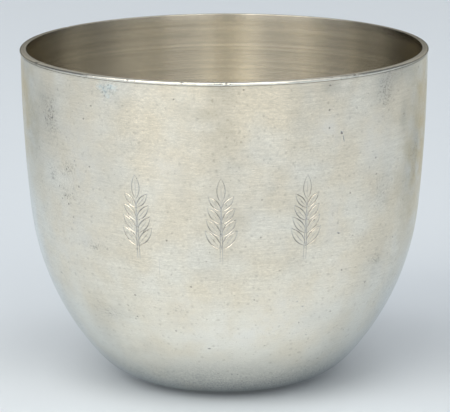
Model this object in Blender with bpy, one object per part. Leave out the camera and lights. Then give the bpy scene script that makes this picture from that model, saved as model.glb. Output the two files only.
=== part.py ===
"""A round pewter drinking cup: a spun wall, a wire let into its lip and a disc let into its bottom.

Metres, +Z up. The origin is on the axis, in the plane that the cup stands on.
"""

import math
from typing import NamedTuple

import bmesh
import bpy
import numpy as np

# Overall size
CUP_HEIGHT = 0.0681
RIM_DIAMETER = 0.0825

# Wall: its sheet, and the tilt from upright at which each arc of its outline passes into the next
WALL_THICKNESS = 0.0011
UPPER_END_TILT = math.radians(6.0)
BELLY_END_TILT = math.radians(41.5)
LEVEL_TILT = math.radians(90.0)

# Foot: the turn from the belly into the base, and the flat ring that the cup stands on
FOOT_TURN_RADIUS = 0.0170
STANDING_DIAMETER = 0.0268
HOLLOW_DIAMETER = 0.0196
HOLLOW_DEPTH = 0.0004

# Base disc: how much thicker than the wall it is, how far it runs up the turn, and the width of its lap
BASE_EXTRA_THICKNESS = 0.0004
BASE_MARGIN = 0.0031
BASE_LAP = 0.0020

# Lip wire
WIRE_HEIGHT = 0.0006
WIRE_OVERHANG = 0.0002
WIRE_ROUNDING = 0.0002
LIP_ROUNDING = 0.0002

# Joints: each side of a lap keeps half of the sheet, and the solder between them has this thickness
LAP_SHARE = 0.5
SOLDER_GAP = 0.0001

# Fineness of the solids
SEGMENTS = 64
UPPER_STEPS = 4
BELLY_STEPS = 9
FOOT_STEPS = 6
CORNER_STEPS = 3
MERGE_DISTANCE = 0.000001
SHARP_ANGLE = math.radians(35.0)

# Sizes that follow from those above
WALL_RADIUS = RIM_DIAMETER / 2 - WIRE_OVERHANG
BORE_RADIUS = WALL_RADIUS - WALL_THICKNESS
STANDING_RADIUS = STANDING_DIAMETER / 2
BASE_THICKNESS = WALL_THICKNESS + BASE_EXTRA_THICKNESS
BASE_RADIUS = STANDING_RADIUS + BASE_MARGIN
LEDGE_RADIUS = BASE_RADIUS - BASE_LAP
LEDGE_UNDERSIDE = BASE_THICKNESS * (1 - LAP_SHARE)
REBATE_RADIUS = WALL_RADIUS - WALL_THICKNESS * LAP_SHARE
REBATE_FLOOR = CUP_HEIGHT - WIRE_HEIGHT - SOLDER_GAP


class Arc(NamedTuple):
    """One arc of the wall's outline, in the plane of radius and height."""

    centre_radius: float
    centre_height: float
    size: float

    def point(self, tilt, inset=0.0):
        """Return the radius and height where the wall leans by tilt, moved in from the outside by inset."""
        reach = self.size - inset
        return (self.centre_radius + reach * math.cos(tilt), self.centre_height - reach * math.sin(tilt))

    def run(self, start_tilt, end_tilt, steps, inset=0.0):
        """Return points along the arc from one tilt to another, both ends included."""
        return [self.point(tilt, inset) for tilt in np.linspace(start_tilt, end_tilt, steps + 1)]

    def tilt_at_radius(self, radius):
        """Return the tilt at which the outside of the wall has this radius."""
        return math.acos((radius - self.centre_radius) / self.size)

    def tilt_at_height(self, height, inset=0.0):
        """Return the tilt at which the wall, moved in by inset, has this height."""
        return math.asin((self.centre_height - height) / (self.size - inset))


def wall_arcs():
    """Return the upper, belly and foot arcs, each tangent to the next, from the lip to the standing ring.

    The foot arc is given. The sizes of the other two make the outline end at the right height and radius.
    """
    upper_sine, upper_cosine = math.sin(UPPER_END_TILT), math.cos(UPPER_END_TILT)
    belly_sine, belly_cosine = math.sin(BELLY_END_TILT), math.cos(BELLY_END_TILT)
    drop = CUP_HEIGHT - FOOT_TURN_RADIUS * (1 - belly_sine)
    narrowing = WALL_RADIUS - STANDING_RADIUS - FOOT_TURN_RADIUS * belly_cosine
    shares = [[upper_sine, belly_sine - upper_sine], [1 - upper_cosine, upper_cosine - belly_cosine]]
    upper_size, belly_size = np.linalg.solve(shares, [drop, narrowing])

    upper = Arc(WALL_RADIUS - upper_size, CUP_HEIGHT, upper_size)
    belly = Arc(*upper.point(UPPER_END_TILT, inset=belly_size), belly_size)
    foot = Arc(STANDING_RADIUS, FOOT_TURN_RADIUS, FOOT_TURN_RADIUS)
    return upper, belly, foot


def corner(centre_radius, centre_height, size, start_angle, end_angle):
    """Return points round a small corner, with angles in degrees from the outward direction."""
    angles = np.radians(np.linspace(start_angle, end_angle, CORNER_STEPS + 1))
    return [(centre_radius + size * math.cos(a), centre_height + size * math.sin(a)) for a in angles]


def body_wall_outline():
    """Return the wall's closed section: up its outside, over the lip and down its inside to the ledge."""
    upper, belly, foot = wall_arcs()
    rounding = min(LIP_ROUNDING, (REBATE_RADIUS - BORE_RADIUS) / 2)
    rounding_base = CUP_HEIGHT - rounding
    lip_tilt = upper.tilt_at_height(rounding_base, WALL_THICKNESS)
    floor_tilt = foot.tilt_at_height(BASE_THICKNESS, WALL_THICKNESS)

    points = [(BASE_RADIUS, LEDGE_UNDERSIDE)]
    points += foot.run(foot.tilt_at_radius(BASE_RADIUS), BELLY_END_TILT, FOOT_STEPS)
    points += belly.run(BELLY_END_TILT, UPPER_END_TILT, BELLY_STEPS)[1:]
    points += upper.run(UPPER_END_TILT, upper.tilt_at_height(REBATE_FLOOR), UPPER_STEPS)[1:]
    points += [(REBATE_RADIUS, REBATE_FLOOR), (REBATE_RADIUS, CUP_HEIGHT)]
    points += corner(BORE_RADIUS + rounding, rounding_base, rounding, 90, 180)
    points += upper.run(lip_tilt, UPPER_END_TILT, UPPER_STEPS, WALL_THICKNESS)[1:]
    points += belly.run(UPPER_END_TILT, BELLY_END_TILT, BELLY_STEPS, WALL_THICKNESS)[1:]
    points += foot.run(BELLY_END_TILT, floor_tilt, FOOT_STEPS, WALL_THICKNESS)[1:]
    points += [(LEDGE_RADIUS, BASE_THICKNESS), (LEDGE_RADIUS, LEDGE_UNDERSIDE)]
    return points


def lip_wire_outline():
    """Return the wire's closed section, seated in the lip's rebate and a little proud of the wall."""
    inner = REBATE_RADIUS + SOLDER_GAP
    outer = RIM_DIAMETER / 2
    bottom = REBATE_FLOOR + SOLDER_GAP
    rounding = min(WIRE_ROUNDING, (outer - inner) / 2, WIRE_HEIGHT / 2)

    points = [(inner, bottom)]
    points += corner(outer - rounding, bottom + rounding, rounding, -90, 0)
    points += corner(outer - rounding, CUP_HEIGHT - rounding, rounding, 0, 90)
    points += [(inner, CUP_HEIGHT)]
    return points


def base_disc_outline():
    """Return the disc's section from the axis along its underside, up its edge and back along the floor."""
    foot = wall_arcs()[2]
    edge = BASE_RADIUS - SOLDER_GAP
    spigot = LEDGE_RADIUS - SOLDER_GAP
    shoulder = LEDGE_UNDERSIDE - SOLDER_GAP

    points = [(0.0, HOLLOW_DEPTH), (HOLLOW_DIAMETER / 2, HOLLOW_DEPTH), (HOLLOW_DIAMETER / 2, 0.0)]
    points += foot.run(LEVEL_TILT, foot.tilt_at_radius(edge), CORNER_STEPS)
    points += [(edge, shoulder), (spigot, shoulder), (spigot, BASE_THICKNESS), (0.0, BASE_THICKNESS)]
    return points


def pewter(name, colour, roughness):
    """Return a bare metal material with this linear colour and roughness."""
    material = bpy.data.materials.new(name)
    material.use_nodes = True
    shader = material.node_tree.nodes["Principled BSDF"]
    shader.inputs["Base Color"].default_value = (*colour, 1.0)
    shader.inputs["Metallic"].default_value = 1.0
    shader.inputs["Roughness"].default_value = roughness
    return material


def turned(name, outline, material):
    """Turn a section about the cup's axis into one closed body and add it to the scene.

    A section that starts and ends on the axis is left open there, and any other is closed into a loop.
    """
    meets_axis = outline[0][0] == 0.0
    bm = bmesh.new()
    verts = [bm.verts.new((radius, 0.0, height)) for radius, height in outline]
    following = verts[1:] if meets_axis else verts[1:] + verts[:1]
    edges = [bm.edges.new(ends) for ends in zip(verts, following)]
    bmesh.ops.spin(bm, geom=verts + edges, axis=(0.0, 0.0, 1.0), angle=math.tau, steps=SEGMENTS)
    bmesh.ops.remove_doubles(bm, verts=bm.verts, dist=MERGE_DISTANCE)
    bmesh.ops.recalc_face_normals(bm, faces=bm.faces)

    mesh = bpy.data.meshes.new(name)
    bm.to_mesh(mesh)
    bm.free()
    mesh.shade_smooth()
    mesh.set_sharp_from_angle(angle=SHARP_ANGLE)
    mesh.materials.append(material)
    bpy.context.scene.collection.objects.link(bpy.data.objects.new(name, mesh))


def build():
    """Clear the scene and make the cup's three pieces."""
    for old in list(bpy.data.objects):
        bpy.data.objects.remove(old)
    turned("body_wall", body_wall_outline(), pewter("spun_pewter", (0.72, 0.67, 0.56), 0.36))
    turned("lip_wire", lip_wire_outline(), pewter("drawn_pewter_wire", (0.72, 0.68, 0.60), 0.28))
    turned("base_disc", base_disc_outline(), pewter("turned_pewter_disc", (0.66, 0.61, 0.51), 0.42))


build()
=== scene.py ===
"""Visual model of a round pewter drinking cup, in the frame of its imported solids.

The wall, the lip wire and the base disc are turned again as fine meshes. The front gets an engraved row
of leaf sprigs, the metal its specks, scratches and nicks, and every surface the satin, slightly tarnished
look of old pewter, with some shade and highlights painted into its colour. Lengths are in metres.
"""

import logging
import math
from dataclasses import dataclass, field
from enum import Enum, IntEnum
from itertools import pairwise
from typing import Any, Sequence

import bpy
import numpy as np
from bpy.types import Material, Mesh, MeshPolygon, NodeSocket as Socket, NodeTree, Object
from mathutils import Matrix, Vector, kdtree


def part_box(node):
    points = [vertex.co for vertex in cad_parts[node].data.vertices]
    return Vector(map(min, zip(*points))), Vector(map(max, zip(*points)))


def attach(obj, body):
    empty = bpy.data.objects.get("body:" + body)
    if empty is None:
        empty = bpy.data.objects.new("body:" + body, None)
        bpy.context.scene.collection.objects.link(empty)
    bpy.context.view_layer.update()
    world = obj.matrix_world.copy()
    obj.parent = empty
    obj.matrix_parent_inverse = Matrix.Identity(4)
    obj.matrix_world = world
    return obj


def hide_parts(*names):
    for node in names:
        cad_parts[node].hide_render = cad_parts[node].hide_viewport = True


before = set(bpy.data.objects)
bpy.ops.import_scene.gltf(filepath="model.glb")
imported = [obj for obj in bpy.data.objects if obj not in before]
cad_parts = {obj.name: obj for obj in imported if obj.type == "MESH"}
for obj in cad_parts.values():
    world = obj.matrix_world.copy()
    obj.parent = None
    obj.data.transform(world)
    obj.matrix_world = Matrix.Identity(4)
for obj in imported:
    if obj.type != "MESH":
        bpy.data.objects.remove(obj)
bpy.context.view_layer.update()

LOG = logging.getLogger("cup")
BODY = "root"
MM = 0.001
PHOTO_WIDTH = 450
MERGE_DISTANCE = 1e-6
SMOOTH_ANGLE = math.radians(35.0)
LEVEL_TILT = math.radians(90.0)
# The lip's painted shade is darkest this far round from the front, and fades over this spread.
SIDE_SHADE_PEAK = math.radians(95.0)
SIDE_SHADE_SPREAD = math.radians(36.0)
# A curve has at least this many steps.
FEWEST_STEPS = 2
# Half the width, in millimetres, of a mark that goes all round the cup.
ALL_ROUND = 1000.0
# Nearly all of Blender's noise falls between these two values.
NOISE_LOW = 0.25
NOISE_HIGH = 0.75

Point = tuple[float, float]
Linear = tuple[float, float, float, float]


class Tone(Enum):
    """Colours of the cup and of the studio, as sRGB hex."""

    PEWTER_WARM = "ECE2CE"
    PEWTER_COOL = "F1EDE1"
    PEWTER_INSIDE = "E8E3D6"
    PEWTER_DULL = "D9CFBC"
    EDGE_COOL = "F0F7FE"
    EDGE_WARM = "F1EBDC"
    # The tarnish tone also colours painted shade, the grime tone painted shade too, and the rubbed tone
    # painted highlights.
    TARNISH = "7F868B"
    YELLOW_FILM = "DBCAA6"
    RUBBED = "FFFCF4"
    GRIME = "3B3A36"
    OXIDE = "E4F0F0"
    PAPER = "D9E0E6"
    LAMP = "FFFFFF"
    LAMP_WARM = "FFFBF3"
    LAMP_LOW = "FFF8EC"
    AIR = "EFF6FF"

    @property
    def linear(self) -> Linear:
        """Return the colour in linear light, by the curve of the sRGB standard.

        Returns:
            Red, green, blue and alpha.
        """
        channels = [int(self.value[i:i + 2], 16) / 255 for i in (0, 2, 4)]
        red, green, blue = [c / 12.92 if c <= 0.04045 else ((c + 0.055) / 1.055) ** 2.4 for c in channels]
        return (red, green, blue, 1.0)


class Mark(Enum):
    """Patterns that a mesh carries as numbers on its vertices, for its finish to read."""

    RUN = "run"
    # The groove and stain marks also carry painted shade, and the rub mark painted highlights.
    GROOVE = "groove_and_shade"
    STAIN = "stain_and_shade"
    FILM = "film"
    RUB = "rub_and_highlight"
    SOIL = "soil"
    OXIDE = "oxide"

    def store(self, mesh: Mesh, values: np.ndarray) -> None:
        """Write the pattern on a mesh, one number for each vertex."""
        layer = mesh.attributes.new(self.value, "FLOAT", "POINT")
        layer.data.foreach_set("value", values.astype(np.float32))

    def read(self, tree: NodeTree) -> Socket:
        """Return the pattern for a finish, which is nothing on a mesh that doesn't carry it."""
        return add_node(tree, "ShaderNodeAttribute", {}, output="Fac", attribute_name=self.value)


def add_node(tree: NodeTree, kind: str, inputs: dict[Any, Any], output: str | None = None,
             **settings: Any) -> Socket | None:
    """Add a shader node with its settings, its values and its links.

    Args:
        tree: The node tree that gets the node.
        kind: Blender's name of the node type.
        inputs: Input socket names or numbers, each with a value, or with the output socket that feeds it.
        output: Name of the wanted output, or nothing for the first one.
        settings: Properties of the node itself.

    Returns:
        The node's wanted output, or nothing where it has none.
    """
    node = tree.nodes.new(kind)
    for name, value in settings.items():
        setattr(node, name, value)
    for name, value in inputs.items():
        if isinstance(value, Socket):
            tree.links.new(value, node.inputs[name])
        else:
            node.inputs[name].default_value = value
    if output:
        return node.outputs[output]
    return next((socket for socket in node.outputs if socket.enabled), None)


def compute(tree: NodeTree, operation: str, *values: Socket | float, clamp: bool = False) -> Socket:
    """Return the result of one step of arithmetic, held between nothing and one if clamped."""
    return add_node(tree, "ShaderNodeMath", dict(enumerate(values)), operation=operation, use_clamp=clamp)


def blend(tree: NodeTree, share: Socket, under: Socket | Linear, over: Socket | Linear) -> Socket:
    """Return one colour with a share of another laid over it."""
    return add_node(tree, "ShaderNodeMix", {"Factor": share, "A": under, "B": over}, data_type="RGBA")


@dataclass(frozen=True)
class Stretch:
    """How a pattern's values are stretched: low becomes start, high becomes end, and none passes them."""

    low: float
    high: float
    start: float = 0.0
    end: float = 1.0

    @classmethod
    def about(cls, middle: float, spread: float) -> "Stretch":
        """Return the stretch that makes plain noise swing by spread to both sides of middle."""
        return cls(NOISE_LOW, NOISE_HIGH, middle - spread, middle + spread)

    def of(self, tree: NodeTree, pattern: Socket) -> Socket:
        """Return the stretched pattern."""
        limits = {"From Min": self.low, "From Max": self.high, "To Min": self.start, "To Max": self.end}
        return add_node(tree, "ShaderNodeMapRange", {"Value": pattern, **limits})


@dataclass(frozen=True)
class Pits:
    """Scattered dark pits in the metal."""

    spacing: float
    radius: float
    darkness: float


@dataclass(frozen=True)
class PewterFinish:
    """Pewter, a grey tin alloy, worked on a lathe, long used and rubbed by hand.

    It gives the eye a satin sheen that is drawn out across the lathe's lines, fine grain and short streaks
    along them, patches of thin warm and cool film, a cool, bright tone towards the foot that is painted
    reflection, soft smudges, painted shade and highlights, and small dark pits. Real lathe lines lie about
    0.1 mm apart, too fine to show, so they are drawn coarser.
    """

    name: str
    warm: Tone
    cool: Tone
    roughness: float
    anisotropy: float
    edge: Tone
    film_edge: Tone | None = None
    sheen_turn: float = 0.25
    patch_size: float = 9.0 * MM
    patch_stretch: Stretch = Stretch(0.33, 0.67)
    # Shifts the tone cool and bright towards the foot: painted reflection of the pale floor.
    cool_reflection_by_height: Stretch = Stretch(6.0 * MM, 30.0 * MM, 0.6, -0.25)
    texture_by_height: Stretch = Stretch(6.0 * MM, 30.0 * MM, 0.25)
    tarnish_size: float = 5.0 * MM
    tarnish_stretch: Stretch = Stretch(0.5, 0.78, 0.0, 0.14)
    grain_size: float = 0.35 * MM
    grain_contrast: float = 0.105
    streak_length: float = 0.9 * MM
    streak_width: float = 0.2 * MM
    streak_contrast: float = 0.10
    line_length: float = 10.0 * MM
    line_width: float = 0.35 * MM
    line_contrast: float = 0.08
    wave_size: float = 14.0 * MM
    wave_height: float = 0.03 * MM
    relief: float = 0.004 * MM
    pit_relief: float = 4.0
    polish_spread: float = 0.02
    tarnish_roughness: float = 0.02
    oxide_roughness: float = 0.35
    break_stretch: Stretch = Stretch(0.3, 0.7, 0.5, 1.5)
    fade_stretch: Stretch = Stretch(0.35, 0.65, 0.3, 1.7)
    crust_stretch: Stretch = Stretch(0.45, 1.8, 0.0, 0.9)
    speck_stretch: Stretch = Stretch(0.5, 0.62)
    pits: tuple[Pits, ...] = (
        Pits(3.0 * MM, 0.26 * MM, 0.55),
        Pits(1.8 * MM, 0.36 * MM, 0.17),
        Pits(1.0 * MM, 0.15 * MM, 0.26),
    )
    pit_shake: float = 0.3 * MM

    def along_lines(self, tree: NodeTree, place: Socket, length: float, width: float) -> Socket:
        """Return coordinates that follow the lathe's lines.

        Args:
            tree: The finish's node tree.
            place: The place on the piece.
            length: Distance along the lines that becomes one unit.
            width: Distance across the lines that becomes one unit.

        Returns:
            The coordinates.
        """
        across = compute(tree, "MULTIPLY", Mark.RUN.read(tree), 1 / width)
        rise = add_node(tree, "ShaderNodeCombineXYZ", {"Z": across})
        return add_node(tree, "ShaderNodeVectorMath", {0: place, 1: (1 / length, 1 / length, 0.0), 2: rise},
                        operation="MULTIPLY_ADD")

    def pit_pattern(self, tree: NodeTree, place: Socket) -> Socket | float:
        """Return how dark the pits are, from nothing to one.

        Args:
            tree: The finish's node tree.
            place: The place on the piece.

        Returns:
            The darkness, or plain nothing for a finish without pits.
        """
        if not self.pits:
            return 0.0
        ragged = add_node(tree, "ShaderNodeTexNoise", {"Vector": place, "Scale": 1 / self.pit_shake},
                          output="Color")
        shaken = add_node(tree, "ShaderNodeVectorMath", {0: ragged, 1: (self.pit_shake,) * 3, 2: place},
                          operation="MULTIPLY_ADD")
        darkest = 0.0
        for pits in self.pits:
            scale = 1 / pits.spacing
            distance = add_node(tree, "ShaderNodeTexVoronoi", {"Vector": shaken, "Scale": scale})
            edge = pits.radius / pits.spacing
            layer = Stretch(edge / 2, edge, pits.darkness, 0.0).of(tree, distance)
            darkest = compute(tree, "MAXIMUM", darkest, layer)
        return darkest

    def patterns(self, tree: NodeTree) -> dict[str, Any]:
        """Return the patterns that the colour, the roughness and the relief share.

        Args:
            tree: The finish's node tree.

        Returns:
            Each pattern's output, by its name.
        """
        place = add_node(tree, "ShaderNodeTexCoord", {}, output="Object")
        streak_place = self.along_lines(tree, place, self.streak_length, self.streak_width)
        line_place = self.along_lines(tree, place, self.line_length, self.line_width)
        # Each noise has coordinates, the size of its spots, its number of finer layers and their strength.
        noises = {
            "patches": (place, self.patch_size, 2.0, 0.5),
            "clouds": (place, self.tarnish_size, 7.0, 0.68),
            "grain": (place, self.grain_size, 2.0, 0.6),
            "waves": (place, self.wave_size, 1.0, 0.5),
            "streaks": (streak_place, 1.0, 1.0, 0.5),
            "lines": (line_place, 1.0, 3.0, 0.7),
        }
        found = {name: add_node(tree, "ShaderNodeTexNoise", {
            "Vector": vector, "Scale": 1 / size, "Detail": detail, "Roughness": strength})
            for name, (vector, size, detail, strength) in noises.items()}
        for mark in (Mark.GROOVE, Mark.STAIN, Mark.FILM, Mark.RUB, Mark.SOIL, Mark.OXIDE):
            found[mark.value] = mark.read(tree)
        found["pits"] = self.pit_pattern(tree, place)
        found["height"] = add_node(tree, "ShaderNodeSeparateXYZ", {0: place}, output="Z")
        # Smudges, painted shade and oxide are broken up by the grain.
        broken = self.break_stretch.of(tree, found["grain"])
        haze = self.tarnish_stretch.of(tree, found["clouds"])
        found["tarnish_and_shade"] = compute(tree, "MULTIPLY_ADD", found["stain_and_shade"], broken, haze, clamp=True)
        flakes = compute(tree, "MULTIPLY", found["oxide"], broken)
        found["crust"] = self.crust_stretch.of(tree, flakes)
        # Film, rubbed places and painted highlights fade out unevenly, with the clouds.
        uneven = self.fade_stretch.of(tree, found["clouds"])
        for mark in (Mark.FILM, Mark.RUB):
            found[mark.value] = compute(tree, "MULTIPLY", found[mark.value], uneven, clamp=True)
        # Soil is a crowd of separate specks, and all that is dark is summed: soil, pits, grime and painted
        # shade.
        specks = self.speck_stretch.of(tree, found["grain"])
        specks = compute(tree, "MULTIPLY_ADD", found["soil"], specks, found["pits"])
        found["dirt_and_shade"] = compute(tree, "ADD", found["groove_and_shade"], specks, clamp=True)
        return found

    def bare_metal(self, tree: NodeTree, found: dict[str, Any]) -> Socket | Linear:
        """Return the colour of the metal with its thin film.

        Args:
            tree: The finish's node tree.
            found: The patterns.

        Returns:
            Warm and cool patches, or one plain colour where both tones are the same.
        """
        if self.warm is self.cool:
            return self.warm.linear
        # Towards the foot the tone turns cool and bright: painted reflection of the pale floor.
        reflection_shift = self.cool_reflection_by_height.of(tree, found["height"])
        patches = self.patch_stretch.of(tree, found["patches"])
        coolness = compute(tree, "ADD", patches, reflection_shift, clamp=True)
        return blend(tree, coolness, self.warm.linear, self.cool.linear)

    def colour(self, tree: NodeTree, found: dict[str, Any]) -> Socket:
        """Return the metal's colour with all that lies on it, painted shade and highlights included.

        Args:
            tree: The finish's node tree.
            found: The patterns.

        Returns:
            The colour.
        """
        bare = self.bare_metal(tree, found)
        colour = bare
        contrasts = {"streaks": self.streak_contrast, "lines": self.line_contrast,
                     "grain": self.grain_contrast}
        for name, contrast in contrasts.items():
            shade = Stretch.about(1.0, contrast).of(tree, found[name])
            colour = add_node(tree, "ShaderNodeHueSaturation", {"Value": shade, "Color": colour})
        colour = blend(tree, self.texture_by_height.of(tree, found["height"]), bare, colour)
        # Over the metal: film, wear with painted highlights, tarnish with painted shade, oxide, and grime
        # with painted shade.
        layers = {"film": Tone.YELLOW_FILM, "rub_and_highlight": Tone.RUBBED, "tarnish_and_shade": Tone.TARNISH,
                  "crust": Tone.OXIDE, "dirt_and_shade": Tone.GRIME}
        for name, tone in layers.items():
            colour = blend(tree, found[name], colour, tone.linear)
        return colour

    def worn_roughness(self, tree: NodeTree, found: dict[str, Any]) -> Socket:
        """Return the roughness, higher where the metal is tarnished or crusted, and where shade is painted.

        Args:
            tree: The finish's node tree.
            found: The patterns.

        Returns:
            The roughness.
        """
        roughness = Stretch.about(self.roughness, self.polish_spread).of(tree, found["streaks"])
        for name, extra in {"tarnish_and_shade": self.tarnish_roughness, "crust": self.oxide_roughness}.items():
            roughness = compute(tree, "MULTIPLY_ADD", found[name], extra, roughness)
        return roughness

    def relief_normal(self, tree: NodeTree, found: dict[str, Any]) -> Socket:
        """Return the normal of the fine relief: slow waves, streaks, lines and pits.

        Args:
            tree: The finish's node tree.
            found: The patterns.

        Returns:
            The normal.
        """
        wavy = add_node(tree, "ShaderNodeBump", {"Height": found["waves"], "Distance": self.wave_height})
        relief = compute(tree, "MULTIPLY_ADD", found["pits"], -self.pit_relief, found["streaks"])
        relief = compute(tree, "ADD", relief, found["lines"])
        return add_node(tree, "ShaderNodeBump", {"Height": relief, "Distance": self.relief, "Normal": wavy})

    def material(self) -> Material:
        """Return the finish as a node material.

        Returns:
            A metal whose colour, roughness and fine relief come from patterns in the piece's own space.
        """
        material = bpy.data.materials.new(self.name)
        material.use_nodes = True
        tree = material.node_tree
        tree.nodes.clear()
        found = self.patterns(tree)
        # At a grazing angle the metal takes the tint of its edge, or of the film where one lies on it.
        edge = self.edge.linear
        if self.film_edge:
            edge = blend(tree, found["film"], edge, self.film_edge.linear)
        # The sheen runs across the lathe's lines, a quarter turn from the tangent that follows them.
        tangent = add_node(tree, "ShaderNodeTangent", {}, direction_type="RADIAL", axis="Z")
        surface = add_node(tree, "ShaderNodeBsdfPrincipled", {
            "Base Color": self.colour(tree, found), "Metallic": 1.0,
            "Roughness": self.worn_roughness(tree, found), "Normal": self.relief_normal(tree, found),
            "Tangent": tangent, "Anisotropic": self.anisotropy, "Anisotropic Rotation": self.sheen_turn,
            "Specular Tint": edge})
        add_node(tree, "ShaderNodeOutputMaterial", {"Surface": surface})
        return material


@dataclass(frozen=True)
class Arc:
    """One arc of the wall's outline, in the plane of radius and height."""

    centre_radius: float
    centre_height: float
    size: float

    def point(self, tilt: float, inset: float = 0.0) -> Point:
        """Return the radius and height where the wall leans by tilt, moved in from the outside by inset."""
        reach = self.size - inset
        return (self.centre_radius + reach * math.cos(tilt), self.centre_height - reach * math.sin(tilt))

    def run(self, start_tilt: float, end_tilt: float, spacing: float, inset: float = 0.0) -> list[Point]:
        """Return points along the arc.

        Args:
            start_tilt: Lean of the wall at the first point.
            end_tilt: Lean of the wall at the last point.
            spacing: Wanted distance between points.
            inset: Distance in from the outside of the wall.

        Returns:
            Radius and height of each point, both ends included.
        """
        length = abs(end_tilt - start_tilt) * (self.size - inset)
        steps = max(FEWEST_STEPS, round(length / spacing))
        return [self.point(tilt, inset) for tilt in np.linspace(start_tilt, end_tilt, steps + 1)]

    def tilt_at_radius(self, radius: float) -> float:
        """Return the tilt at which the outside of the wall has this radius."""
        return math.acos((radius - self.centre_radius) / self.size)

    def tilt_at_height(self, height: float, inset: float = 0.0) -> float:
        """Return the tilt at which the wall, moved in by inset, has this height."""
        return math.asin((self.centre_height - height) / (self.size - inset))


@dataclass(frozen=True)
class CupSizes:
    """Sizes that the pieces share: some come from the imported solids, and the rest repeat the part's own."""

    height: float
    rim_radius: float
    wall_radius: float
    base_thickness: float
    wall_thickness: float = 1.1 * MM
    upper_end_tilt: float = math.radians(6.0)
    belly_end_tilt: float = math.radians(41.5)
    foot_turn: float = 17.0 * MM
    standing_radius: float = 13.4 * MM
    base_margin: float = 3.1 * MM
    base_lap: float = 2.0 * MM
    hollow_radius: float = 9.8 * MM
    hollow_depth: float = 0.4 * MM
    wire_height: float = 0.6 * MM
    seam: float = 0.1 * MM

    @classmethod
    def from_frame(cls) -> "CupSizes":
        """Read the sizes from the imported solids.

        Returns:
            The sizes that fit them.
        """
        wire_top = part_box("lip_wire")[1]
        wall_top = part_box("body_wall")[1]
        disc_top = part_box("base_disc")[1]
        return cls(wire_top.z, wire_top.x, wall_top.x, disc_top.z)

    @property
    def bore_radius(self) -> float:
        """Return the radius of the mouth."""
        return self.wall_radius - self.wall_thickness

    @property
    def rebate_radius(self) -> float:
        """Return the radius of the step that holds the lip wire."""
        return self.wall_radius - self.wall_thickness / 2

    @property
    def rebate_floor(self) -> float:
        """Return the height of the step that holds the lip wire."""
        return self.height - self.wire_height - self.seam

    @property
    def base_radius(self) -> float:
        """Return the radius at which the wall's underside ends."""
        return self.standing_radius + self.base_margin

    @property
    def ledge_radius(self) -> float:
        """Return the radius of the hole in the wall's bottom ledge."""
        return self.base_radius - self.base_lap

    def arcs(self) -> tuple[Arc, Arc, Arc]:
        """Solve the wall's outline so that it ends at the right height and radius.

        Returns:
            The upper, belly and foot arcs, each tangent to the next.
        """
        upper_sine, upper_cosine = math.sin(self.upper_end_tilt), math.cos(self.upper_end_tilt)
        belly_sine, belly_cosine = math.sin(self.belly_end_tilt), math.cos(self.belly_end_tilt)
        drop = self.height - self.foot_turn * (1 - belly_sine)
        narrowing = self.wall_radius - self.standing_radius - self.foot_turn * belly_cosine
        shares = [[upper_sine, belly_sine - upper_sine], [1 - upper_cosine, upper_cosine - belly_cosine]]
        upper_size, belly_size = np.linalg.solve(shares, [drop, narrowing])
        upper = Arc(self.wall_radius - upper_size, self.height, upper_size)
        belly = Arc(*upper.point(self.upper_end_tilt, inset=belly_size), belly_size)
        return upper, belly, Arc(self.standing_radius, self.foot_turn, self.foot_turn)

    def outside_radius(self, heights: np.ndarray) -> np.ndarray:
        """Return the wall's outer radius at each height.

        Args:
            heights: Heights above the table.

        Returns:
            The radius at each of them.
        """
        upper, belly, foot = self.arcs()
        upper_end = upper.point(self.upper_end_tilt)[1]
        belly_end = belly.point(self.belly_end_tilt)[1]
        radii = []
        for arc in (upper, belly, foot):
            reach = arc.size ** 2 - (arc.centre_height - heights) ** 2
            radii.append(arc.centre_radius + np.sqrt(np.maximum(reach, 0.0)))
        return np.select([heights >= upper_end, heights >= belly_end], radii[:2], radii[2])


def corner(centre: Point, size: float, start: float, end: float, steps: int = 6) -> list[Point]:
    """Return points round a small corner, with angles in degrees from the outward direction."""
    angles = np.radians(np.linspace(start, end, steps + 1))
    return [(centre[0] + size * math.cos(angle), centre[1] + size * math.sin(angle)) for angle in angles]


def on_cup(azimuths: np.ndarray, radii: np.ndarray, heights: np.ndarray) -> np.ndarray:
    """Return places round the cup, one row each, with azimuths to the right of the front."""
    return np.stack([radii * np.sin(azimuths), -radii * np.cos(azimuths), heights], 1)


def side_shade_round(places: np.ndarray) -> np.ndarray:
    """Return the share of painted shade at each of many places round the lip, most at its two sides."""
    azimuths = np.abs(np.arctan2(places[:, 0], -places[:, 1]))
    return np.exp(-((azimuths - SIDE_SHADE_PEAK) / SIDE_SHADE_SPREAD) ** 2)


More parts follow.
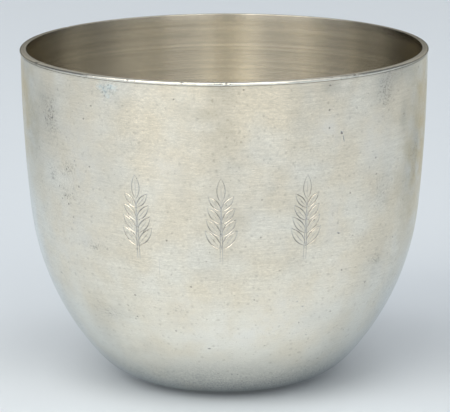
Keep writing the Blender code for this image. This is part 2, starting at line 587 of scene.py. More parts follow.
def turn_on_lathe(name: str, section: Sequence[Point], segments: int) -> Object:
    """Turn a section about the cup's axis into a closed mesh.

    Args:
        name: Name of the new piece.
        section: Radius and height of each point; a section that starts on the axis also ends there.
        segments: Number of facets round the axis.

    Returns:
        The new piece, at the origin, in object mode.
    """
    bpy.ops.object.select_all(action="DESELECT")
    bpy.ops.mesh.primitive_plane_add(size=MM)
    piece = bpy.context.object
    piece.name = piece.data.name = name
    bpy.ops.object.mode_set(mode="EDIT")
    bpy.ops.mesh.select_mode(type="VERT")
    bpy.ops.mesh.merge(type="CENTER")
    bpy.ops.transform.translate(value=(section[0][0], 0.0, section[0][1]))
    closed = section[0][0] > 0
    path = [*section, section[0]] if closed else section
    for (radius, height), (next_radius, next_height) in pairwise(path):
        step = (next_radius - radius, 0.0, next_height - height)
        bpy.ops.mesh.extrude_region_move(TRANSFORM_OT_translate={"value": step})
    bpy.ops.mesh.select_all(action="SELECT")
    bpy.ops.mesh.spin(steps=segments, angle=math.tau, center=(0.0, 0.0, 0.0), axis=(0.0, 0.0, 1.0))
    bpy.ops.mesh.select_all(action="SELECT")
    bpy.ops.mesh.remove_doubles(threshold=MERGE_DISTANCE)
    bpy.ops.mesh.normals_make_consistent(inside=False)
    bpy.ops.object.mode_set(mode="OBJECT")
    bpy.ops.object.shade_smooth_by_angle(angle=SMOOTH_ANGLE)
    return piece


def vertex_places(mesh: Mesh) -> np.ndarray:
    """Read where the vertices are.

    Args:
        mesh: The mesh.

    Returns:
        The place of each vertex, one row each.
    """
    places = np.empty(len(mesh.vertices) * 3)
    mesh.vertices.foreach_get("co", places)
    return places.reshape(-1, 3)


def store_runs(mesh: Mesh, section: Sequence[Point]) -> None:
    """Note on each vertex how far along the turned section it lies, for patterns that follow the lathe.

    Args:
        mesh: The turned mesh.
        section: Radius and height of each point of the section.
    """
    places = vertex_places(mesh)
    flat = np.stack([np.hypot(places[:, 0], places[:, 1]), places[:, 2]], 1)
    nearest = np.full(len(flat), math.inf)
    runs = np.zeros(len(flat))
    run = 0.0
    for start, end in pairwise(np.array(section)):
        step = end - start
        length = np.linalg.norm(step)
        share = np.clip((flat - start) @ step / length ** 2, 0.0, 1.0)
        gap = np.linalg.norm(flat - start - share[:, None] * step, axis=1)
        runs = np.where(gap < nearest, run + share * length, runs)
        nearest = np.minimum(gap, nearest)
        run += length
    Mark.RUN.store(mesh, runs)


@dataclass
class Cuts:
    """Points along every cut in one piece: place, half the width, depth and grime, one row each."""

    samples: np.ndarray
    tree: kdtree.KDTree = field(init=False)

    def __post_init__(self) -> None:
        """Put the points in a search tree."""
        self.tree = kdtree.KDTree(len(self.samples))
        for index, row in enumerate(self.samples):
            self.tree.insert(row[:3], index)
        self.tree.balance()

    def nearest(self, places: np.ndarray, reach: float) -> tuple[np.ndarray, np.ndarray]:
        """Find the nearest point of a cut to each of many places.

        Args:
            places: One row each.
            reach: Distance past which a place counts as far from every cut.

        Returns:
            The distance, infinite where far, and the number of the nearest point.
        """
        distances = np.full(len(places), math.inf)
        numbers = np.zeros(len(places), int)
        low, high = self.samples[:, :3].min(0) - reach, self.samples[:, :3].max(0) + reach
        for index in np.flatnonzero(np.all((places > low) & (places < high), axis=1)):
            _, number, distance = self.tree.find(places[index])
            if distance < reach:
                distances[index] = distance
                numbers[index] = number
        return distances, numbers

    def refine(self, piece: Object, reaches: Sequence[float]) -> None:
        """Split the faces near the cuts, again and again.

        Args:
            piece: The mesh object, the active one.
            reaches: For each round, the distance up to which faces are split.
        """
        mesh = piece.data
        for reach in reaches:
            centres = np.empty(len(mesh.polygons) * 3)
            mesh.polygons.foreach_get("center", centres)
            distances, _ = self.nearest(centres.reshape(-1, 3), reach)
            bpy.ops.object.mode_set(mode="EDIT")
            bpy.ops.mesh.select_mode(type="FACE")
            bpy.ops.mesh.select_all(action="DESELECT")
            bpy.ops.object.mode_set(mode="OBJECT")
            mesh.polygons.foreach_set("select", np.isfinite(distances))
            bpy.ops.object.mode_set(mode="EDIT")
            bpy.ops.mesh.subdivide(number_cuts=1)
            bpy.ops.object.mode_set(mode="OBJECT")

    def press(self, piece: Object) -> np.ndarray:
        """Push the mesh in along the cuts.

        Args:
            piece: The refined mesh object, the active one.

        Returns:
            The grime in the cuts at each vertex.
        """
        mesh = piece.data
        distances, numbers = self.nearest(vertex_places(mesh), self.samples[:, 3].max())
        half_widths, depths, grime_and_shade = self.samples[numbers, 3:].T
        shares = np.clip(1 - distances / half_widths, 0.0, 1.0)
        deepest = depths.max()
        weights = shares * depths / deepest
        group = piece.vertex_groups.new(name="pressed")
        for index in np.flatnonzero(weights > 0):
            group.add([int(index)], float(weights[index]), "REPLACE")
        push = piece.modifiers.new("push", "DISPLACE")
        push.vertex_group = group.name
        push.mid_level = 0.0
        push.strength = -deepest
        bpy.ops.object.modifier_apply(modifier=push.name)
        piece.vertex_groups.clear()
        return shares * grime_and_shade


@dataclass(frozen=True)
class Stroke:
    """One cut on a flat drawing: a curve bent by one control point, whose line swells in the middle."""

    start: Point
    control: Point
    end: Point
    half_width: float
    depth: float
    grime_and_shade: float
    end_share: float = 0.45

    def samples(self, spacing: float) -> np.ndarray:
        """Return points along the cut.

        Args:
            spacing: Wanted distance between points.

        Returns:
            One row each: place across, place up, half the width, depth and grime.
        """
        start, control, end = (np.array(point) for point in (self.start, self.control, self.end))
        length = np.linalg.norm(control - start) + np.linalg.norm(end - control)
        way = np.linspace(0.0, 1.0, max(FEWEST_STEPS + 1, round(length / spacing)))[:, None]
        places = (1 - way) ** 2 * start + 2 * way * (1 - way) * control + way ** 2 * end
        swell = self.end_share + (1 - self.end_share) * np.sin(math.pi * way)
        grime_and_shade = np.full_like(way, self.grime_and_shade)
        return np.hstack([places, swell * self.half_width, swell * self.depth, grime_and_shade])


@dataclass(frozen=True)
class Motif:
    """Cuts that belong together, and their place outside: degrees to the right of the front, and height."""

    azimuth: float
    height: float
    strokes: tuple[Stroke, ...]

    def samples(self, sizes: CupSizes, spacing: float) -> np.ndarray:
        """Return points along the cuts, on the outside of the wall.

        Args:
            sizes: The cup's sizes.
            spacing: Wanted distance between points.

        Returns:
            One row each: place, half the width, depth and grime.
        """
        flat = np.vstack([stroke.samples(spacing) for stroke in self.strokes])
        heights = self.height + flat[:, 1]
        radii = sizes.outside_radius(heights)
        azimuths = math.radians(self.azimuth) + flat[:, 0] / radii
        return np.hstack([on_cup(azimuths, radii, heights), flat[:, 2:]])


@dataclass(frozen=True)
class LeafSprig:
    """An engraved upright sprig with pointed leaves in pairs, drawn flat about its own middle."""

    height: float = 17.0 * MM
    leaf_pairs: int = 4
    leaf_length: float = 4.9 * MM
    leaf_width: float = 1.6 * MM
    leaf_lean: float = math.radians(40.0)
    leaf_belly: float = 0.45
    leaf_shrink: float = 0.22
    bare_foot: float = 0.16
    bare_top: float = 0.1
    stem_width: float = 0.5 * MM
    half_width: float = 0.13 * MM
    depth: float = 0.14 * MM
    grime_and_shade: float = 0.65
    vein_share: float = 0.6
    vein_start: float = 0.12
    vein_end: float = 0.72

    def leaf(self, root: Point, direction: float, length: float) -> list[Stroke]:
        """Return the two edges and the vein of one leaf.

        Args:
            root: Where the leaf leaves the stem.
            direction: Angle of the leaf from upright, to the right.
            length: Length of the leaf.

        Returns:
            Its three cuts.
        """
        along = np.array([math.sin(direction), math.cos(direction)]) * length
        across = np.array([along[1], -along[0]]) * self.leaf_width / self.leaf_length
        base = np.array(root)
        middle = base + along * self.leaf_belly
        edges = [Stroke(tuple(base), tuple(middle + across * side), tuple(base + along), self.half_width,
                        self.depth, self.grime_and_shade) for side in (-1, 1)]
        start, end = base + along * self.vein_start, base + along * self.vein_end
        vein = Stroke(tuple(start), tuple(middle), tuple(end), self.half_width * self.vein_share,
                      self.depth * self.vein_share, self.grime_and_shade)
        return [*edges, vein]

    def strokes(self) -> tuple[Stroke, ...]:
        """Draw the whole sprig.

        Returns:
            Every cut of its stem and its leaves.
        """
        foot = -self.height / 2
        crown = self.height / 2 - self.leaf_length
        lowest_root = foot + self.bare_foot * self.height
        highest_root = crown - self.bare_top * self.height
        cuts = []
        for side in (-1, 1):
            edge = side * self.stem_width / 2
            cuts.append(Stroke((edge, foot), (edge, foot / 2), (0.0, crown), self.half_width, self.depth,
                               self.grime_and_shade))
        for share in np.linspace(0.0, 1.0, self.leaf_pairs):
            root = (0.0, lowest_root + share * (highest_root - lowest_root))
            length = self.leaf_length * (1.0 - self.leaf_shrink * share)
            for side in (-1, 1):
                cuts += self.leaf(root, side * self.leaf_lean, length)
        return (*cuts, *self.leaf((0.0, crown), 0.0, self.leaf_length))


@dataclass(frozen=True)
class Scratch:
    """A mark of use on the outside: a scratch that turns and rises from its start, or a short speck."""

    azimuth: float
    height: float
    half_width: float
    turn: float
    rise: float
    grime_and_shade: float
    steepness: float = 0.3

    @classmethod
    def table(cls, *rows: Sequence[float]) -> tuple["Scratch", ...]:
        """Return one mark a row: degrees, four sizes in millimetres and grime, in the fields' order."""
        return tuple(cls(row[0], *(size * MM for size in row[1:5]), row[5]) for row in rows)

    def motif(self) -> Motif:
        """Lay the mark out as a cut.

        Returns:
            The cut and its place on the wall.
        """
        middle = (self.turn / 2, self.rise / 2)
        stroke = Stroke((0.0, 0.0), middle, (self.turn, self.rise), self.half_width,
                        self.half_width * self.steepness, self.grime_and_shade)
        return Motif(self.azimuth, self.height, (stroke,))


@dataclass(frozen=True)
class Smudge:
    """A soft mark on the wall: degrees to the right of the front, height, half its sizes and strength."""

    azimuth: float
    height: float
    half_width: float
    half_height: float
    strength: float

    @classmethod
    def table(cls, *rows: Sequence[float]) -> tuple["Smudge", ...]:
        """Return one mark a row: degrees, three sizes in millimetres and strength, in the fields' order."""
        return tuple(cls(row[0], *(size * MM for size in row[1:4]), row[4]) for row in rows)

    @staticmethod
    def total(marks: Sequence["Smudge"], places: np.ndarray) -> np.ndarray:
        """Return the strength of several marks together at each of many places."""
        return sum(mark.strength_at(places) for mark in marks)

    def strength_at(self, places: np.ndarray) -> np.ndarray:
        """Return the mark's strength at each of many places.

        Args:
            places: One row each.

        Returns:
            The strength, which fades from the middle outwards.
        """
        angles = np.arctan2(places[:, 0], -places[:, 1]) - math.radians(self.azimuth)
        turns = (angles + math.pi) % math.tau - math.pi
        across = turns * np.hypot(places[:, 0], places[:, 1]) / self.half_width
        up = (places[:, 2] - self.height) / self.half_height
        return self.strength * np.exp(-across ** 2 - up ** 2)


class WallSlot(IntEnum):
    """Material slots of the wall, in order."""

    OUTSIDE = 0
    INSIDE = 1
    LIP = 2


@dataclass
class CupWall:
    """The spun wall: the outside, engraved at the front, the lip, the inside and the ledge for the disc."""

    sizes: CupSizes
    segments: int = 256
    outside_spacing: float = 1.0 * MM
    inside_spacing: float = 1.8 * MM
    lip_rounding: float = 0.06 * MM
    lip_shade_height: float = 0.35 * MM
    # Under the wire and on the lip's top the metal is darkened, most at the two sides: painted shade.
    lip_shade: float = 0.12
    lip_side_shade: float = 0.36
    lip_top_shade: float = 0.60
    # In the cuts the metal is painted near white, so that their glints read white: painted highlight.
    cut_shine: float = 2.2
    sprig: LeafSprig = field(default_factory=LeafSprig)
    sprig_azimuths: tuple[float, ...] = (-25.4, -1.0, 23.4)
    sprig_height: float = 40.9 * MM
    sample_spacing: float = 0.03 * MM
    refine_reaches: tuple[float, ...] = (1.0 * MM, 0.6 * MM, 0.36 * MM, 0.22 * MM)
    scratches: tuple[Scratch, ...] = Scratch.table(
        (33.5, 57.2, 0.42, 0.3, -0.4, 0.8), (34.2, 56.4, 0.18, 0.3, -1.3, 0.8),
        (33.6, 36.9, 0.2, 0.7, -0.2, 0.8), (-19, 32.9, 0.08, -0.3, -4.7, 0.4),
        (29.6, 66.6, 0.26, 0.2, 0, 0.8), (-55.8, 58, 0.26, 0.3, 0.3, 0.4),
        (-57.2, 59.7, 0.22, 0.2, -0.5, 0.4), (-59.7, 58, 0.2, 0.2, -0.8, 0.4),
        (-57.5, 46.7, 0.2, 0.2, 0, 0.8), (-50.1, 48.4, 0.18, 0.2, 0, 0.8),
        (-46.4, 50.4, 0.18, 0.2, 0, 0.8), (-53.1, 42, 0.2, 0.2, 0, 0.8), (-48.2, 43.6, 0.16, 0.2, 0, 0.8),
        (-48.8, 37.6, 0.18, 0.2, 0, 0.8), (-6.2, 13.3, 0.26, 0.6, 0, 0.8), (4.8, 6.8, 0.2, 0.2, 0, 0.8),
        (22.5, 23.3, 0.2, 0.2, 0, 0.8), (24.5, 22.1, 0.18, 0.4, 0, 0.8), (28.7, 15.4, 0.2, 0.2, 0, 0.8),
        (45.9, 14.7, 0.18, 0.2, 0, 0.8), (49.8, 29.6, 0.2, 0.2, 0, 0.8), (-33.1, 66.4, 0.2, 0.1, 0.3, 0.8),
        (-34.4, 64.4, 0.18, 0.2, 0, 0.8), (-36.6, 65.5, 0.12, 0.2, 0, 0.8),
        (-132, 47, 0.22, 0.3, -0.6, 0.8), (160, 39, 0.08, 2.2, -3.1, 0.4), (118, 55, 0.24, 0.2, 0, 0.8),
        (-168, 26, 0.2, 0.2, 0, 0.8),
    )
    # Soft dark marks: smudges of use, and painted shade under the lip, at the two sides and all round the
    # foot.
    smudges_and_shade: tuple[Smudge, ...] = Smudge.table(
        (56, 67, 6, 2.5, 0.3), (-76, 67, 5, 3, 0.22), (59.8, 57.6, 1.5, 3.5, 0.25), (66, 52, 3.5, 16, 0.2),
        (70.5, 46, 3, 12, 0.14), (69.5, 51.5, 1.6, 3, 0.12), (49.5, 64.5, 2.8, 3.5, 0.18),
        (-8, 32, 3, 2.5, 0.08), (-57, 57, 3, 4, 0.1), (62.5, 44, 3, 5, 0.15), (50, 27.5, 5, 8, 0.12),
        (52, 46.5, 2.5, 5, 0.12), (32, 19.5, 5, 2, 0.09), (-39, 19.3, 4, 2, 0.09),
        (8.8, 54.3, 2.5, 2, 0.1), (45, 14, 5, 7, 0.14), (30, 66.3, 2.4, 1.2, 0.3), (12, 48, 8, 9, 0.06),
        (3.8, 41, 4.2, 2.8, 0.11), (-12, 49.5, 2.5, 2, 0.08), (-8, 59, 4, 4, 0.06), (-10, 8, 8, 2.5, 0.1),
        (-33, 49.5, 3, 4, 0.08), (-32, 64.2, 2.5, 1.2, 0.12), (-47, 16, 4, 5, 0.14),
        (-58.8, 60.9, 2.5, 3, 0.12), (-70, 54, 3.5, 8, 0.12), (-66, 57, 7, 11, 0.2),
        (-80, 52, 6, 15, 0.15), (80, 52, 6, 15, 0.2), (0, 42, 22, 13, 0.05), (120, 25, 6, 9, 0.16),
        (150, 47, 8, 10, 0.2), (-140, 31, 9, 12, 0.18), (-112, 58, 5, 6, 0.18),
        # All round the foot: painted shade, the floor's shadow as the foot mirrors it.
        (0, 0.5, ALL_ROUND, 7, 0.65),
    )
    # The inside darkened at its two sides and low down: painted shade.
    inside_painted_shade: tuple[Smudge, ...] = Smudge.table(
        (-98, 58, 20, 20, 0.08), (98, 58, 20, 20, 0.24), (-110, 51, 10, 18, 0.39), (113, 57, 10, 20, 0.47),
        (-150, 51.5, 7, 7, 0.18), (152, 51.5, 8, 7, 0.2), (0, 3, ALL_ROUND, 9, 0.22),
    )
    yellow_films: tuple[Smudge, ...] = Smudge.table(
        (-86, 59, 11, 13, 0.85), (-73, 57, 6, 11, 0.2), (84, 53, 13, 18, 1.1), (70, 43, 7, 12, 0.15),
        (-3, 62, 16, 8, 0.14), (-35, 22, 10, 8, 0.1), (175, 50, 14, 12, 0.3),
    )
    # Lighter places: rubbed wear, and painted highlights such as the band low on the front.
    rubbed_and_lit_spots: tuple[Smudge, ...] = Smudge.table(
        (4, 16.5, 13, 3.4, 0.4), (-13, 23.2, 6, 3, 0.3), (19, 22, 9, 4, 0.3), (35, 29, 4, 4.5, 0.2),
        (-55.5, 33, 3.5, 14, 0.22), (31.4, 40, 2.5, 6, 0.25), (-45, 50, 7, 14, 0.28),
        (-46, 33, 6, 6, 0.18), (-16, 50, 3, 4, 0.35), (29.5, 58.5, 3, 3, 0.35), (46, 55, 4, 6, 0.28),
        (160, 30, 12, 8, 0.4), (-120, 40, 8, 10, 0.4),
    )
    soil_spots: tuple[Smudge, ...] = Smudge.table(
        (-56.3, 58.4, 2.2, 3.6, 0.45), (-50.1, 42.8, 1.6, 0.5, 0.6), (-49, 48.6, 1.2, 1.2, 0.4),
        (-40, 33.6, 3, 0.9, 0.5), (-40.5, 19.5, 3.4, 1.2, 0.45), (-57.5, 46.7, 1.3, 1.5, 0.4),
        (-14.5, 22.2, 2, 1.2, 0.3), (20.3, 32.2, 2.4, 1, 0.3), (-50, 46, 9, 18, 0.18),
        (50, 63.5, 2.2, 3.6, 0.5), (-33.4, 65.6, 2, 1.3, 0.45), (49.6, 43, 2.5, 3.5, 0.25),
        (50.8, 29.5, 1.2, 1.4, 0.5), (70.1, 50.2, 0.9, 2.2, 0.8), (69.4, 46, 0.8, 2.4, 0.5),
        (50, 46, 9, 18, 0.1), (138, 41, 2.4, 3, 0.5), (-152, 53, 1.8, 3.2, 0.6),
    )
    oxide_spots: tuple[Smudge, ...] = Smudge.table(
        (-36.1, 66.2, 0.9, 0.8, 1.3), (-34.5, 65.4, 0.9, 0.7, 1.3), (-32.9, 66.3, 1, 0.8, 1.4),
        (-31.3, 65.9, 0.8, 0.9, 1.3), (-33.2, 64.3, 0.9, 0.6, 1.2),
    )

    def section(self) -> list[Point]:
        """Draw the wall's section.

        Returns:
            Radius and height of each point, up the outside, over the lip and down the inside to the ledge.
        """
        sizes = self.sizes
        upper, belly, foot = sizes.arcs()
        sheet = sizes.wall_thickness
        ledge_underside = sizes.base_thickness / 2
        rounding_base = sizes.height - self.lip_rounding
        start_tilt = foot.tilt_at_radius(sizes.base_radius)
        lip_tilt = upper.tilt_at_height(rounding_base, sheet)
        shade_tilt = upper.tilt_at_height(sizes.rebate_floor - self.lip_shade_height)
        floor_tilt = foot.tilt_at_height(sizes.base_thickness, sheet)
        points = [(sizes.base_radius, ledge_underside)]
        points += foot.run(start_tilt, sizes.belly_end_tilt, self.outside_spacing)
        points += belly.run(sizes.belly_end_tilt, sizes.upper_end_tilt, self.outside_spacing)[1:]
        points += upper.run(sizes.upper_end_tilt, shade_tilt, self.outside_spacing)[1:]
        points += [upper.point(upper.tilt_at_height(sizes.rebate_floor))]
        points += [(sizes.rebate_radius, sizes.rebate_floor), (sizes.rebate_radius, sizes.height)]
        points += corner((sizes.bore_radius + self.lip_rounding, rounding_base), self.lip_rounding, 90, 180)
        points += upper.run(lip_tilt, sizes.upper_end_tilt, self.inside_spacing, sheet)[1:]
        points += belly.run(sizes.upper_end_tilt, sizes.belly_end_tilt, self.inside_spacing, sheet)[1:]
        points += foot.run(sizes.belly_end_tilt, floor_tilt, self.inside_spacing, sheet)[1:]
        points += [(sizes.ledge_radius, sizes.base_thickness), (sizes.ledge_radius, ledge_underside)]
        return points

    def cuts(self) -> Cuts:
        """Lay out the sprigs and the marks of use.

        Returns:
            All of them as cuts.
        """
        strokes = self.sprig.strokes()
        motifs = [Motif(azimuth, self.sprig_height, strokes) for azimuth in self.sprig_azimuths]
        motifs += [scratch.motif() for scratch in self.scratches]
        return Cuts(np.vstack([motif.samples(self.sizes, self.sample_spacing) for motif in motifs]))

    def settle_on_outline(self, mesh: Mesh) -> None:
        """Move new vertices of the refined outside from the flat facets on to the round outline.

        Args:
            mesh: The wall's mesh.
        """
        places = vertex_places(mesh)
        radii = np.hypot(places[:, 0], places[:, 1])
        wanted = self.sizes.outside_radius(places[:, 2])
        near = np.abs(radii - wanted) < self.sizes.wall_thickness / 4
        outside = near & (places[:, 2] < self.sizes.rebate_floor)
        scale = np.where(outside, wanted / np.maximum(radii, MERGE_DISTANCE), 1.0)
        places[:, :2] *= scale[:, None]
        mesh.vertices.foreach_set("co", places.ravel())
        mesh.update()

    def stain_and_shade(self, mesh: Mesh, cut_grime: np.ndarray) -> None:
        """Spread painted shade over the inside and the lip, grime in the cuts, and all other marks outside.

        Args:
            mesh: The engraved wall's mesh.
            cut_grime: The grime in the cuts at each vertex.
        """
        places = vertex_places(mesh)
        radii = np.hypot(places[:, 0], places[:, 1])
        outside = radii > self.sizes.outside_radius(places[:, 2]) - self.sizes.wall_thickness / 2
        under_lip = 1 - (self.sizes.rebate_floor - places[:, 2]) / self.lip_shade_height
        # Just under the wire the wall is darkened, most at the two sides: painted shade.
        shade = (self.lip_shade + self.lip_side_shade * side_shade_round(places)) * np.clip(under_lip, 0.0, 1.0)
        # The inside is darkened at its sides and low down: painted shade.
        inside_shade = Smudge.total(self.inside_painted_shade, places)
        # The lip's top is darkened at the two sides: painted shade.
        on_lip = places[:, 2] > self.sizes.height - self.lip_rounding
        lip_side_shade = self.lip_top_shade * side_shade_round(places) * on_lip
        # Rubbed places and painted highlights, with the cuts' metal painted near white so their glints read
        # white.
        rubbed_and_lit = Smudge.total(self.rubbed_and_lit_spots, places) + self.cut_shine * cut_grime
        Mark.GROOVE.store(mesh, np.where(outside, cut_grime, inside_shade) + lip_side_shade)
        Mark.STAIN.store(mesh, (Smudge.total(self.smudges_and_shade, places) + shade) * outside)
        Mark.RUB.store(mesh, rubbed_and_lit * outside)
        spots = {Mark.FILM: self.yellow_films, Mark.SOIL: self.soil_spots, Mark.OXIDE: self.oxide_spots}
        for mark, marks in spots.items():
            mark.store(mesh, Smudge.total(marks, places) * outside)

    def slot_of(self, face: MeshPolygon) -> WallSlot:
        """Tell which finish a face gets.

        Args:
            face: A face of the wall.

        Returns:
            Its material slot.
        """
        outward = face.normal.x * face.center.x + face.normal.y * face.center.y
        if face.center.z > self.sizes.height - self.lip_rounding:
            return WallSlot.LIP
        if outward < 0 and face.center.z > self.sizes.base_thickness:
            return WallSlot.INSIDE
        return WallSlot.OUTSIDE

    def build(self, outside: PewterFinish, inside: PewterFinish, lip: PewterFinish) -> Object:
        """Make, engrave and dress the wall.

        Args:
            outside: Finish of the outside.
            inside: Finish of the inside.
            lip: Finish of the lip's top.

        Returns:
            The finished piece.
        """
        section = self.section()
        piece = turn_on_lathe("cup_wall", section, self.segments)
        mesh = piece.data
        cuts = self.cuts()
        cuts.refine(piece, self.refine_reaches)
        self.settle_on_outline(mesh)
        self.stain_and_shade(mesh, cuts.press(piece))
        store_runs(mesh, section)
        for finish in (outside, inside, lip):
            mesh.materials.append(finish.material())
        for face in mesh.polygons:
            face.material_index = self.slot_of(face)
        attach(piece, BODY)
        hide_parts("body_wall")
        return piece


@dataclass(frozen=True)
class Nick:
    """A small notch knocked into the lip, so many degrees to the right of the front."""

    azimuth: float
    half_width: float
    depth: float
    grime_and_shade: float = 0.3


@dataclass
class LipWire:
    """The fine wire in the lip's outer edge."""

    sizes: CupSizes
    segments: int = 384
    seam: float = 0.02 * MM
    # The wire is darkened towards its foot, and more at its two sides: painted shade.
    shade: float = 0.08
    top_shade: float = 0.72
    foot_shade: float = 0.65
    round_steps: int = 16
    nick_reach: float = 100.0
    nick_steps: int = 20
    refine_reaches: tuple[float, ...] = (1.0 * MM, 0.5 * MM)
    nicks: tuple[Nick, ...] = (
        Nick(-11.5, 0.35 * MM, 0.14 * MM),
        Nick(0.6, 0.50 * MM, 0.12 * MM),
        Nick(-27.0, 0.25 * MM, 0.08 * MM),
        Nick(38.0, 0.40 * MM, 0.10 * MM),
        Nick(-64.0, 0.45 * MM, 0.12 * MM),
        Nick(104.0, 0.40 * MM, 0.12 * MM),
        Nick(171.0, 0.35 * MM, 0.10 * MM),
        Nick(-127.0, 0.50 * MM, 0.12 * MM),
    )

    @property
    def rounding(self) -> float:
        """Return the radius of the wire's outer half round."""
        return (self.sizes.height - self.sizes.rebate_floor - self.seam) / 2

    @property
    def centre(self) -> Point:
        """Return the radius and height of the half round's centre."""
        return (self.sizes.rim_radius - self.rounding, self.sizes.height - self.rounding)

    def section(self) -> list[Point]:
        """Draw the wire's section, rounded on the outside from its foot to the lip's top.

        Returns:
            Radius and height of each point.
        """
        inner = self.sizes.rebate_radius + self.seam
        bottom = self.sizes.rebate_floor + self.seam
        outer = corner(self.centre, self.rounding, -90, 90, self.round_steps)
        return [(inner, bottom), *outer, (inner, self.sizes.height)]

    def cuts(self) -> Cuts:
        """Lay the nicks over the wire's outside and top.

        Returns:
            All of them as cuts.
        """
        rows = []
        over = corner(self.centre, self.rounding, 0, self.nick_reach, self.nick_steps)
        radii, heights = np.array(over).T
        for nick in self.nicks:
            places = on_cup(np.full_like(radii, math.radians(nick.azimuth)), radii, heights)
            sizes = np.tile([nick.half_width, nick.depth, nick.grime_and_shade], (len(places), 1))
            rows.append(np.hstack([places, sizes]))
        return Cuts(np.vstack(rows))

    def build(self, finish: PewterFinish) -> Object:
        """Make and dress the wire, with nicks in its top, and painted shade, most at its two sides and foot.

        Args:
            finish: Its metal.

        Returns:
            The finished piece.
        """
        section = self.section()
        piece = turn_on_lathe("cup_lip_wire", section, self.segments)
        mesh = piece.data
        cuts = self.cuts()
        cuts.refine(piece, self.refine_reaches)
        nicked = cuts.press(piece)
        places = vertex_places(mesh)
        # Darker towards the wire's foot and at its two sides: painted shade, added to the grime in the nicks.
        below = np.clip((self.centre[1] - places[:, 2]) / self.rounding, 0.0, 1.0)
        side_shade = side_shade_round(places)
        grime_and_shade = self.shade * below + side_shade * (self.top_shade + self.foot_shade * np.sqrt(below))
        Mark.GROOVE.store(mesh, nicked + grime_and_shade)
        store_runs(mesh, section)
        mesh.materials.append(finish.material())
        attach(piece, BODY)
        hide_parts("lip_wire")
        return piece


@dataclass
class BaseDisc:
    """The disc let into the bottom of the wall."""

    sizes: CupSizes
    segments: int = 192
    spacing: float = 1.0 * MM
    dullness: float = 0.4

    def section(self) -> list[Point]:
        """Draw the disc's section.

        Returns:
            Radius and height of each point, out along the underside, up the edge and back along the floor.
        """
        sizes = self.sizes
        foot = sizes.arcs()[2]
        edge = sizes.base_radius - sizes.seam
        spigot = sizes.ledge_radius - sizes.seam
        shoulder = sizes.base_thickness / 2 - sizes.seam
        points = [(0.0, sizes.hollow_depth), (sizes.hollow_radius, sizes.hollow_depth)]
        points += [(sizes.hollow_radius, 0.0)]
        points += foot.run(LEVEL_TILT, foot.tilt_at_radius(edge), self.spacing)
        points += [(edge, shoulder), (spigot, shoulder)]
        points += [(spigot, sizes.base_thickness), (0.0, sizes.base_thickness)]
        return points

    def stain_and_shade(self, mesh: Mesh) -> None:
        """Leave the standing ring rubbed bright and the rest dull.

        Args:
            mesh: The disc's mesh.
        """
        places = vertex_places(mesh)
        radii = np.hypot(places[:, 0], places[:, 1])
        ring_edge = self.sizes.standing_radius + self.spacing / 2
        rubbed_and_lit = (places[:, 2] < self.sizes.hollow_depth / 2) & (radii < ring_edge)
        Mark.STAIN.store(mesh, np.where(rubbed_and_lit, 0.0, self.dullness))

    def build(self, underside: PewterFinish, floor: PewterFinish) -> Object:
        """Make and dress the disc.

        Args:
            underside: Finish of what the cup stands on.
            floor: Finish of the floor of the bowl.

        Returns:
            The finished piece.
        """
        section = self.section()
        piece = turn_on_lathe("cup_base", section, self.segments)
        self.stain_and_shade(piece.data)
        store_runs(piece.data, section)
        for finish in (underside, floor):
            piece.data.materials.append(finish.material())
        for face in piece.data.polygons:
            face.material_index = int(face.center.z > self.sizes.base_thickness - MERGE_DISTANCE)
        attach(piece, BODY)
        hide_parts("base_disc")
        return piece


@dataclass(frozen=True)
class Softbox:
    """A studio lamp that faces the cup, given by how it looks from there. Angles are in degrees."""

    name: str
    azimuth: float
    elevation: float
    width: float
    height: float
    radiance: float
    tone: Tone = Tone.LAMP
    distance: float = 2.0

    def build(self, target: Vector) -> None:
        """Hang the lamp.

        Args:
            target: The point that it faces.
        """
        azimuth, elevation = math.radians(self.azimuth), math.radians(self.elevation)
        level = math.cos(elevation)
        way = Vector((level * math.sin(azimuth), -level * math.cos(azimuth), math.sin(elevation)))
        light = bpy.data.lights.new(self.name, "AREA")
        light.shape = "RECTANGLE"
        light.size = 2 * self.distance * math.tan(math.radians(self.width) / 2)
        light.size_y = 2 * self.distance * math.tan(math.radians(self.height) / 2)
        light.energy = self.radiance * math.pi * light.size * light.size_y
        light.color = self.tone.linear[:3]
        lamp = bpy.data.objects.new(self.name, light)
        lamp.location = target + way * self.distance
        lamp.rotation_euler = (-way).to_track_quat("-Z", "Y").to_euler()
        bpy.context.scene.collection.objects.link(lamp)


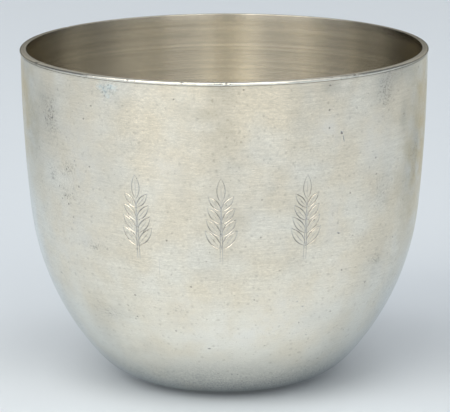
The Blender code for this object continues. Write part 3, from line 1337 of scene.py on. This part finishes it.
@dataclass
class Studio:
    """A pale paper floor, soft lamps and the camera."""

    sizes: CupSizes
    camera_place: tuple[float, float, float] = (0.05 * MM, -700.0 * MM, 189.2 * MM)
    camera_pitch: float = 0.21675
    camera_roll: float = -0.004
    focal_pixels: float = 3516.0
    sensor_width: float = 36.0
    floor_width: float = 6.0
    floor_roughness: float = 0.9
    floor_glow: float = 0.08
    air_strength: float = 0.21
    lamps: tuple[Softbox, ...] = (
        Softbox("left_bank", -32.0, 35.0, 40.0, 36.0, 2.98, Tone.LAMP_WARM),
        Softbox("right_bank", 20.75, 35.0, 29.5, 36.0, 2.06, Tone.LAMP_WARM),
        Softbox("left_side", -69.0, 35.0, 33.0, 36.0, 1.60),
        Softbox("right_side", 60.5, 35.0, 50.0, 36.0, 0.66),
        Softbox("left_low", -32.0, 11.0, 40.0, 11.0, 0.28, Tone.LAMP_LOW),
        Softbox("right_low", 20.75, 11.0, 29.5, 11.0, 0.54, Tone.LAMP_LOW),
        Softbox("front_overhead", 0.0, 70.0, 34.0, 28.0, 2.25),
        Softbox("left_overhead", -90.0, 70.0, 30.0, 28.0, 1.30),
        Softbox("right_overhead", 90.0, 70.0, 30.0, 28.0, 1.42),
        Softbox("backdrop", 180.0, 22.0, 70.0, 24.0, 0.40),
    )

    def build_floor(self) -> None:
        """Lay the paper floor, which glows a little where it is seen or mirrored, so the shadow is pale."""
        bpy.ops.object.select_all(action="DESELECT")
        bpy.ops.mesh.primitive_plane_add(size=self.floor_width)
        floor = bpy.context.object
        floor.name = "paper_floor"
        material = bpy.data.materials.new("matt_paper")
        material.use_nodes = True
        tree = material.node_tree
        tree.nodes.clear()
        paper = add_node(tree, "ShaderNodeBsdfPrincipled", {
            "Base Color": Tone.PAPER.linear, "Roughness": self.floor_roughness})
        glow = add_node(tree, "ShaderNodeEmission", {"Color": Tone.PAPER.linear})
        share = 0.0
        for ray in ("Is Camera Ray", "Is Glossy Ray", "Is Transmission Ray"):
            seen = add_node(tree, "ShaderNodeLightPath", {}, output=ray)
            share = compute(tree, "MULTIPLY_ADD", seen, self.floor_glow, share)
        surface = add_node(tree, "ShaderNodeMixShader", {0: share, 1: paper, 2: glow})
        add_node(tree, "ShaderNodeOutputMaterial", {"Surface": surface})
        floor.data.materials.append(material)

    def build_light(self) -> None:
        """Set the world and hang the lamps."""
        world = bpy.data.worlds.new("studio_air")
        world.use_nodes = True
        background = world.node_tree.nodes["Background"]
        background.inputs["Color"].default_value = Tone.AIR.linear
        background.inputs["Strength"].default_value = self.air_strength
        bpy.context.scene.world = world
        for lamp in self.lamps:
            lamp.build(Vector((0.0, 0.0, self.sizes.height / 2)))

    def build_camera(self) -> None:
        """Place the camera as the photograph's."""
        data = bpy.data.cameras.new("camera")
        data.sensor_width = self.sensor_width
        data.lens = self.focal_pixels * self.sensor_width / PHOTO_WIDTH
        camera = bpy.data.objects.new("camera", data)
        camera.location = self.camera_place
        camera.rotation_euler = (math.pi / 2 - self.camera_pitch, 0.0, 0.0)
        camera.rotation_euler.rotate_axis("Z", self.camera_roll)
        bpy.context.scene.collection.objects.link(camera)
        bpy.context.scene.camera = camera
        bpy.context.scene.view_settings.view_transform = "Standard"

    def build(self) -> None:
        """Set up the whole studio."""
        self.build_floor()
        self.build_light()
        self.build_camera()


# Satin, in warm and cool patches, with a cool edge that the yellow film turns warm.
OUTSIDE = PewterFinish("spun_pewter_outside", warm=Tone.PEWTER_WARM, cool=Tone.PEWTER_COOL, roughness=0.22,
                       anisotropy=0.95, edge=Tone.EDGE_COOL, film_edge=Tone.EDGE_WARM)
# One even tone without pits, a broader sheen and long fine lathe lines.
INSIDE = PewterFinish("spun_pewter_inside", warm=Tone.PEWTER_INSIDE, cool=Tone.PEWTER_INSIDE,
                      roughness=0.26, anisotropy=0.85, edge=Tone.EDGE_WARM,
                      tarnish_stretch=Stretch(0.5, 0.78, 0.0, 0.1), grain_contrast=0.02,
                      streak_contrast=0.05, line_contrast=0.14, line_length=160.0 * MM,
                      line_width=0.5 * MM, wave_height=0.01 * MM, polish_spread=0.005,
                      tarnish_roughness=0.0, pits=())
# The wire and the lip's top: as bright as the outside, in its cool tone.
WIRE = PewterFinish("drawn_pewter_wire", warm=Tone.PEWTER_COOL, cool=Tone.PEWTER_COOL, roughness=0.22,
                    anisotropy=0.95, edge=Tone.EDGE_WARM)
# Duller, with a softer sheen.
DISC = PewterFinish("turned_pewter_disc", warm=Tone.PEWTER_DULL, cool=Tone.PEWTER_WARM, roughness=0.32,
                    anisotropy=0.8, edge=Tone.EDGE_COOL)


def main() -> None:
    """Build the studio and the cup, and report each piece."""
    logging.basicConfig(level=logging.INFO, format="%(name)s: %(message)s")
    LOG.info("frame of %d solids", len(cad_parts))
    sizes = CupSizes.from_frame()
    Studio(sizes).build()
    pieces = [
        CupWall(sizes).build(OUTSIDE, INSIDE, WIRE),
        LipWire(sizes).build(WIRE),
        BaseDisc(sizes).build(DISC, INSIDE),
    ]
    for piece in pieces:
        LOG.info("%s: %d faces", piece.name, len(piece.data.polygons))


if __name__ == "__main__":
    main()
